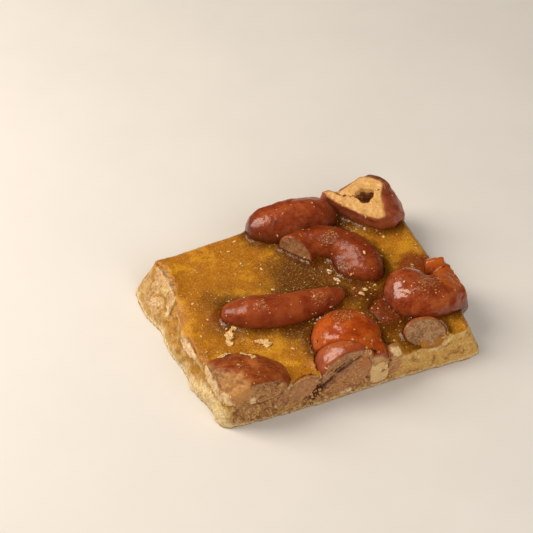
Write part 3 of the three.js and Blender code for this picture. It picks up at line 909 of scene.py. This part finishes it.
def makeCaramel():
    caramel = addBlock("caramelSlab", 0, topZ, 31)
    cutOff(caramel, *nuts["cashewCorner"]["cuts"][0])
    remesh(caramel, slab["grid"])
    wearEdges(caramel)
    soften(caramel, 5)

    # where each spot is: on a cut side, on top, on the broken front or on the left, and how near a nut
    spots, facing = spotsOf(caramel), facingOf(caramel)
    x, y, z = spots.T
    far, inNut = measureTo(surfaceOf(*kernels.values()), spots)
    halo, _ = measureTo(surfaceOf(*(kernels[name] for name in slab["halos"])), spots)
    uneven = bumps(spots, 1.4, 3, shift=8)
    upright = 1 - ease(np.abs(facing[:, 2]), 0.35, 0.8)
    onSide = np.maximum(upright, 1 - ease(insideSides(spots) + 0.5 * uneven, 0.1, 0.6)) * ease(z, 0.05, 0.4)
    onTop = ease(facing[:, 2], 0.3, 0.8)
    crumbly = (1 - ease(y - frontY(x, z), 0.4, 0.9)) * (1 - ease(x, 7.5, 10)) * ease(x, -26.5, -24)
    onLeft = 1 - ease(x - leftX(y, z), 0.5, 1.5)
    # painted shade along the crack of the split nut, which is also pressed in
    torn = np.zeros(len(spots))
    for crack in nuts["splitLower"]["cracks"]:
        torn = np.maximum(torn, np.exp(-(nearLine(spots, crack["line"]) / (1.2 * crack["width"])) ** 2))

    # caramel gives way to a nut, and climbs a little where it touches one
    sunk = inNut * ease(far, 0.12, 0.5)
    climb = slab["meniscus"] * ((~inNut) * np.exp(-far / slab["meniscusReach"])) * onTop * (1 - onSide)
    roughTop = slab["topRoughness"] * bumps(spots, 1.6, 3)
    roughSide = slab["cutRoughness"] * (0.3 + 0.9 * crumbly) * (bumps(spots, 1.1, 4) - 0.25)
    roughSide += slab["leftRoughness"] * onLeft * bumps(spots, 2.4, 2, shift=4) - slab["crackDeep"] * torn
    lift = onTop * (1 - onSide) * (roughTop - slab["sunkTop"] * sunk) + onSide * (roughSide - slab["sunkSide"] * sunk)
    spots = spots + facing * (lift * ease(z, 0.05, 0.5))[:, None]
    spots[:, 2] += climb
    moveTo(caramel, spots)

    # the frosted rim: low on the left, round the front left corner, in flecks, and along the top edge
    frostHigh = 2.2 * (1 - ease(y, -12, -5))
    lowLeft = onLeft * (1 - ease(z + 0.9 * uneven - frostHigh, 1.4, 2.8)) * (1 - 0.7 * ease(y, -10, 2))
    foot = 0.8 * (1 - ease(z, 0.4, 1.1))
    flecks = 0.4 * onLeft * ease(bumps(spots, 2.2, 4, shift=6), 0.12, 0.4)
    lowCorner = 1.4 * (1 - ease(np.hypot(x + 28.5, y + 22) + z, 3, 6.5))
    topEdge = ease(z, topZ(x, y) - 2, topZ(x, y) - 1) * (1 - ease(insideSides(spots) + 0.5 * uneven, 0.3, 1.3))
    rim = lowLeft + foot + lowCorner + flecks + 0.8 * topEdge * ease(uneven, -0.2, 0.3)
    paint(caramel, "rim", np.clip(rim, 0, 1))
    paint(caramel, "near", np.where(inNut, 0, halo) * (1 - onSide) + 4 * onSide)
    paint(caramel, "side", ease(onSide, 0.2, 0.8))
    paint(caramel, "tone", 0.5 - 0.5 * crumbly + 0.5 * onLeft * (1 - crumbly))
    paint(caramel, "dark", torn)
    paint(caramel, "stain", placesOf(spots, slab["stains"], 0.3, 0.8, 2) * (1 - onSide))
    # the browner places, partly painted shade between the nuts
    paint(caramel, "shadedPool", placesOf(spots, slab["shadedPools"], 0, 1.5, 4))
    finishPiece(caramel, caramelFinish(), replaced="caramel")
    print("caramel poured:", len(caramel.data.polygons), "faces")
    return caramel


caramel = makeCaramel()

# loose bits: crumbs, flakes and beads of sugar, each modelled a few times and copied

# how high over the slab counts as on a nut, and the share of those that is left out
scatter = {"x": (-27, 27.5), "y": (-20.5, 20.5), "fromSides": 0.25, "onNut": 0.9, "leftOut": 0.4}
crumbs = {
    "kinds": 6, "subdivisions": 1, "uneven": 0.55, "wave": 0.4, "shift": 3.7, "flat": (1, 0.85, 0.62),
    "count": 520, "sizes": (0.13, 0.5),
    # x, y, spread, count and size of each cluster
    "clusters": [(-13.6, -8.9, 1.3, 26, 0.5), (-18.2, -4.2, 1.5, 30, 0.45), (-11, -2.6, 0.9, 16, 0.4),
                 (18, 13, 1.5, 20, 0.4), (10.5, -3.6, 1.2, 16, 0.6), (-22, -18, 2.4, 30, 0.4),
                 (2.5, -13, 1, 22, 0.4), (-6, -3.4, 3, 18, 0.3), (23.5, -9.5, 2.2, 24, 0.26),
                 (15.5, 16, 1.2, 14, 0.5), (20.5, -12, 2, 14, 0.35), (14, -22, 3, 16, 0.35),
                 (-4, -21.8, 5, 40, 0.4), (8, 2, 2, 10, 0.35)],
}
sideCrumbs = {
    # along, height, spread along and up, count and size of each cluster
    "front": [(-10, 2, 7, 1.1, 170, 1), (-17, 5.5, 3, 1.5, 30, 0.8), (-2.5, 7.5, 2.5, 1.4, 40, 0.8),
              (2.6, 10, 1.2, 0.8, 26, 0.9), (8.6, 6, 1.2, 2.6, 36, 0.9), (18, 4, 6, 2.2, 50, 0.4)],
    "left": [(-8, 3.4, 6, 1.6, 60, 0.8), (6, 3, 6, 1.6, 40, 0.6), (-17, 4, 2.6, 2, 40, 0.8)],
    "back": [(-14, 3.4, 7, 1.8, 70, 0.6), (6, 3, 7, 1.4, 60, 0.7), (20, 3.4, 5, 1.6, 40, 0.6)],
    "right": [(-15, 3.4, 4, 1.6, 36, 0.6), (2, 3.6, 6, 1.6, 60, 0.6), (14, 3, 5, 1.4, 36, 0.7)],
}
flakes = {
    "kinds": 5, "count": 30, "sizes": (0.4, 0.8), "x": (-27, 27), "y": (-20, 20), "fromSides": 0.6,
    # x, y, long, wide and turn of the larger ones, each a row of flakes that overlap
    "large": [(-19, -5.2, 3.1, 1.2, 70), (-22.4, -11.3, 2.7, 0.9, 20), (-18.4, -13.8, 2.5, 0.8, -40),
              (-13.6, -8.2, 2, 1, -20), (-12.6, -9.4, 1.6, 0.9, 40), (-17.6, -3.2, 1.6, 0.7, 15),
              (18.6, 12.4, 1, 0.6, 60), (26, 3.5, 1, 0.5, 80), (10.4, -4.1, 1.3, 1, 30)],
    "step": 0.45,
}
beads = {
    "kinds": 3, "subdivisions": 2, "uneven": 0.25, "wave": 0.8, "shift": 1.9, "flat": (1, 0.8, 0.5),
    "count": 50, "sizes": (0.25, 0.6),
    "clusters": [(-0.5, -8.2, 0.9, 12, 0.9), (2.6, -6.6, 0.6, 6, 0.9), (6.6, 4.2, 0.6, 9, 1),
                 (7.2, 1.2, 0.6, 8, 1.1), (16.9, 13.8, 0.9, 7, 0.8), (12.5, -3.9, 0.8, 5, 0.8),
                 (16.6, -12.4, 1.4, 12, 0.6), (-18.6, -2, 0.8, 8, 0.6)],
}


def spotBelow(ground, x, y):
    return ground.ray_cast(Vector((x, y, 30)), Vector((0, 0, -1)))[:2]


def sideRay(side, along, up):
    # where a ray that comes in at a cut side starts, and the way it goes
    return {"front": ((along, -40, up), (0, 1, 0)), "back": ((along, 40, up), (0, -1, 0)),
            "left": ((-45, along, up), (1, 0, 0)), "right": ((45, along, up), (-1, 0, 0))}[side]


def layCopy(model, hit, facing, sizes, turn):
    # a copy with its own mesh, laid on the surface and turned
    copy = model.copy()
    copy.data = model.data.copy()
    bpy.context.collection.objects.link(copy)
    laid = facing.to_track_quat("Z", "Y").to_matrix().to_4x4()
    turned = Matrix.Rotation(turn, 4, "Z")
    sized = Matrix.Diagonal((*sizes, 1))
    copy.data.transform(Matrix.Translation(hit * mm) @ laid @ turned @ sized)
    return copy


def layLump(models, hit, facing, size, flatness):
    return layCopy(dice.choice(models), hit, facing,
                   (size, size * dice.uniform(0.6, 1), size * dice.uniform(*flatness)), dice.uniform(0, fullTurn))


def addLumpModel(look, index):
    bpy.ops.mesh.primitive_ico_sphere_add(subdivisions=look["subdivisions"], radius=mm / 2)
    model = keepAs(f"lumpModel{index}")
    spots = spotsOf(model)
    uneven = look["uneven"] * bumps(spots, look["wave"], 1, shift=look["shift"] * index)
    moveTo(model, spots * (1 + uneven)[:, None] * look["flat"])
    return model


def addFlakeModel(index):
    # a small grid with a ragged outline, curled, then thickened
    bpy.ops.mesh.primitive_grid_add(x_subdivisions=5, y_subdivisions=3, size=mm)
    model = keepAs(f"flakeModel{index}")
    spots = spotsOf(model)
    ragged = 1 + 0.5 * bumps(spots, 0.35, 2, shift=5.3 * index)
    spots = spots * ragged[:, None]
    spots[:, 2] = 0.14 * bumps(spots, 0.5, 2, shift=2.1 * index) + 0.25 * spots[:, 0] ** 2 + 0.1
    moveTo(model, spots)
    applyModifier(model, "SOLIDIFY", thickness=0.16 * mm, offset=0)
    return model


def finishLoose(name, copies, models, finish, smooth):
    joinInto(copies[0], copies[1:])
    loose = copies[0]
    loose.name = loose.data.name = name
    for model in models:
        bpy.data.objects.remove(model)
    finishPiece(loose, finish, smooth=smooth)
    print("laid down:", name, len(copies))


def scatterClusters(look, models, ground):
    # all over the top, and in clusters, with some of those that land on a nut left out
    copies = []
    places = [(dice.uniform(*scatter["x"]), dice.uniform(*scatter["y"]), dice.uniform(*look["sizes"]))
              for _ in range(look["count"])]
    for middleX, middleY, spread, count, size in look["clusters"]:
        places += [(dice.gauss(middleX, spread), dice.gauss(middleY, spread), size * dice.uniform(0.4, 1.1))
                   for _ in range(count)]
    for x, y, size in places:
        hit, facing = spotBelow(ground, x, y)
        leftOut = hit and hit.z > topZ(x, y) + scatter["onNut"] and dice.random() < scatter["leftOut"]
        if hit and not leftOut and insideSides(np.array([hit]))[0] > scatter["fromSides"]:
            copies.append(layLump(models, hit, facing, size * dice.uniform(0.6, 1), (0.6, 1)))
    return copies


def scatterOnSides(sides, models, ground):
    copies = []
    for side in sides:
        for along, height, spread, spreadUp, count, size in sideCrumbs[side]:
            for _ in range(count):
                start, towards = sideRay(side, dice.gauss(along, spread), dice.gauss(height, spreadUp))
                hit, facing, _, _ = ground.ray_cast(Vector(start), Vector(towards))
                # not too near the floor, nor on the far slope of a nut
                if hit and hit.z > 0.45 and facing.dot(Vector(towards)) < -0.3:
                    girth = size * dice.uniform(0.4, 1.1)
                    copies.append(layLump(models, hit - facing * 0.1 * girth, facing, girth, (0.4, 0.9)))
    return copies


def layFlakes(models, ground):
    copies = []
    for x, y, long, wide, degrees in flakes["large"]:
        turn = math.radians(degrees)
        along = Vector((math.cos(turn), math.sin(turn), 0))
        for share in np.linspace(-0.42, 0.42, int(long / flakes["step"])):
            spot = Vector((x, y, 0)) + along * share * long + Vector((dice.gauss(0, 0.16), dice.gauss(0, 0.16), 0))
            hit, facing = spotBelow(ground, spot.x, spot.y)
            tilted = (facing + Vector((dice.gauss(0, 0.25), dice.gauss(0, 0.25), 0))).normalized()
            size = wide * dice.uniform(0.7, 1.3)
            copies.append(layCopy(dice.choice(models), hit + facing * dice.uniform(0, 0.12), tilted,
                                  (size * 1.2, size * dice.uniform(0.6, 1), dice.uniform(0.5, 1)),
                                  turn + dice.gauss(0, 0.5)))
    for _ in range(flakes["count"]):
        hit, facing = spotBelow(ground, dice.uniform(*flakes["x"]), dice.uniform(*flakes["y"]))
        size = dice.uniform(*flakes["sizes"])
        if hit and insideSides(np.array([hit]))[0] > flakes["fromSides"]:
            copies.append(layCopy(dice.choice(models), hit, facing, (size, size * 0.6, 0.6),
                                  dice.uniform(0, fullTurn)))
    return copies


ground = surfaceOf(caramel, *kernels.values())
crumbModels = [addLumpModel(crumbs, index) for index in range(crumbs["kinds"])]
frontCopies = scatterOnSides(["front"], crumbModels, ground)
otherCopies = scatterOnSides(["left", "back", "right"], crumbModels, ground)
finishLoose("crumbs", otherCopies + scatterClusters(crumbs, crumbModels, ground), [],
            plainFinish("crumbMeal", (228, 186, 122), (188, 130, 68), 0.5, 0.4), False)
finishLoose("sideCrumbs", frontCopies, crumbModels,
            plainFinish("nutMeal", (214, 170, 108), (176, 120, 58), 0.5, 0.5, third=(124, 74, 36)), False)
flakeModels = [addFlakeModel(index) for index in range(flakes["kinds"])]
finishLoose("flakes", layFlakes(flakeModels, ground), flakeModels,
            plainFinish("flakeSkin", (232, 200, 140), (204, 152, 84), 0.45, 0.7), True)
beadModels = [addLumpModel(beads, index) for index in range(beads["kinds"])]
# the beads are pale partly as frosted sugar and partly as painted glints
finishLoose("sugarBeads", scatterClusters(beads, beadModels, ground), beadModels,
            plainFinish("paleSugarAndGlint", (232, 208, 172), (172, 118, 66), 0.05, 0.8, Coat_Weight=1.0,
                        Coat_Roughness=0.03), True)

# the studio

studio = {
    "aim": (-1.51, 16.95, 0), "turn": 23.5, "rise": 45, "distance": 400, "lens": 130,
    "floor": (222, 218, 212), "floorPatches": (220, 216, 210), "surround": (255, 250, 242), "surroundPower": 0.28,
    # a window to one side and above, and a soft front light that leaves no highlights
    "lamps": [{"from": (-0.58, 0.4, 0.71), "away": 300, "size": (150, 260), "power": 0.95, "tone": (255, 243, 228),
               "glints": True},
              {"from": (0.1, -0.8, 0.6), "away": 400, "size": (300, 300), "power": 0.75, "tone": (255, 250, 244),
               "glints": False}],
}

bpy.ops.mesh.primitive_plane_add(size=3)
floor = keepAs("floor")
floor.data.materials.append(plainFinish("paleFloor", studio["floor"], studio["floorPatches"], 0.7, 30, 0.01))

turn, rise = math.radians(studio["turn"]), math.radians(studio["rise"])
look = Vector((math.sin(turn) * math.cos(rise), math.cos(turn) * math.cos(rise), -math.sin(rise)))
eye = Vector(studio["aim"]) * mm - look * studio["distance"] * mm
bpy.ops.object.camera_add(location=eye, rotation=look.to_track_quat("-Z", "Y").to_euler())
camera = bpy.context.object
camera.data.lens = studio["lens"]
camera.data.clip_start = 0.01
bpy.context.scene.camera = camera

for lamp in studio["lamps"]:
    towards = Vector(lamp["from"]).normalized()
    bpy.ops.object.light_add(type="AREA", location=towards * lamp["away"] * mm,
                             rotation=(-towards).to_track_quat("-Z", "Y").to_euler())
    bpy.context.object.visible_glossy = lamp["glints"]
    light = bpy.context.object.data
    light.shape = "RECTANGLE"
    light.size, light.size_y = (side * mm for side in lamp["size"])
    light.energy = lamp["power"]
    light.color = shade(*lamp["tone"])[:3]

world = bpy.data.worlds.new("softRoom")
world.use_nodes = True
feed(world.node_tree.nodes["Background"].inputs["Color"], studio["surround"])
feed(world.node_tree.nodes["Background"].inputs["Strength"], studio["surroundPower"])
world.cycles_visibility.glossy = False
bpy.context.scene.world = world
bpy.context.scene.view_settings.view_transform = "Standard"
print("studio set")
